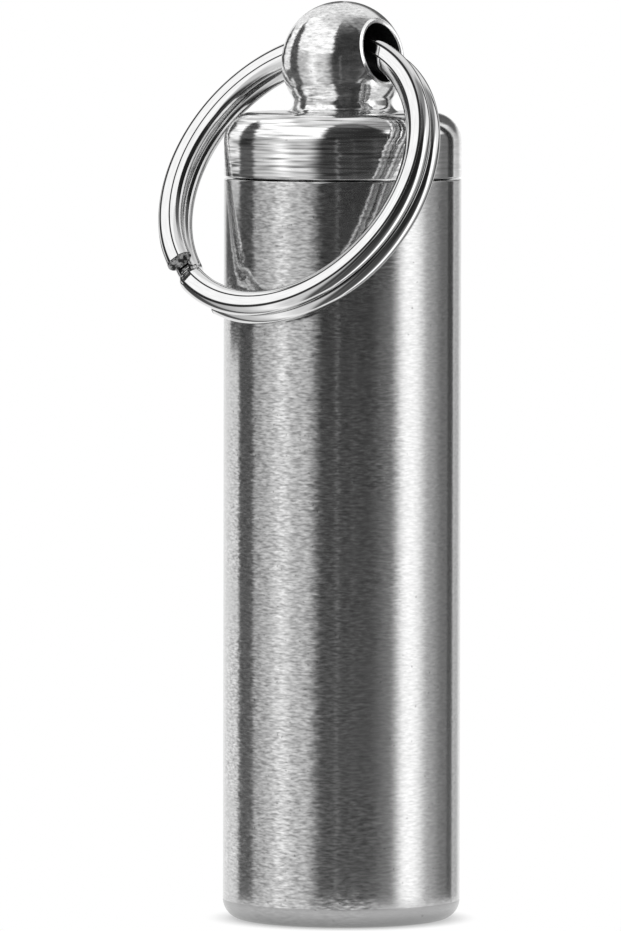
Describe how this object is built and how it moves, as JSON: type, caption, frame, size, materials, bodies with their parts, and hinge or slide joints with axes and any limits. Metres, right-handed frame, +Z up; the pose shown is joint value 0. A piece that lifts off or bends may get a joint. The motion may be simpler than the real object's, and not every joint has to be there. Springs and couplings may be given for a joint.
{
  "type": "waterproof jar",
  "caption": "Slim waterproof steel capsule jar with a screw cap, a rubber seal, and a split ring hung through the cap's drilled ball.",
  "frame": {"origin": "centre of the flat base, on the jar's axis", "axes": "+Z up the jar's axis towards the cap; -Y faces the picture's viewer and +X is the viewer's right"},
  "size_m": [0.0205, 0.0203, 0.0619],
  "materials": {
    "brushed_steel": "fine lines brushed round the jar",
    "turned_steel": "turned, with fine tool lines round the cap and ball",
    "seal_rubber": "matt black moulded rubber",
    "polished_steel": "bright nickel plate"
  },
  "bodies": {
    "jar": {"jar_body": "brushed_steel"},
    "seal": {"o_ring_seal": "seal_rubber"},
    "cap": {"screw_cap": "turned_steel"},
    "ring": {"split_ring": "polished_steel"}
  },
  "joints": [
    {"name": "cap_lift", "type": "slide", "parent": "jar", "child": "seal", "axis": [0, 0, 1], "range_m": [0, 0.0065]},
    {"name": "cap_turn", "type": "hinge", "parent": "seal", "child": "cap", "pos_m": [0, 0, 0.0501], "axis": [0, 0, 1], "range_deg": [0, 2340]},
    {"name": "ring_swing", "type": "hinge", "parent": "cap", "child": "ring", "pos_m": [0, 0, 0.05852], "axis": [-0.7826, 0.6225, 0], "range_deg": [0, 300]}
  ],
  "couplings": [
    {"joint": "cap_turn", "follows": "cap_lift", "rad_per_m": 6283.2}
  ]
}
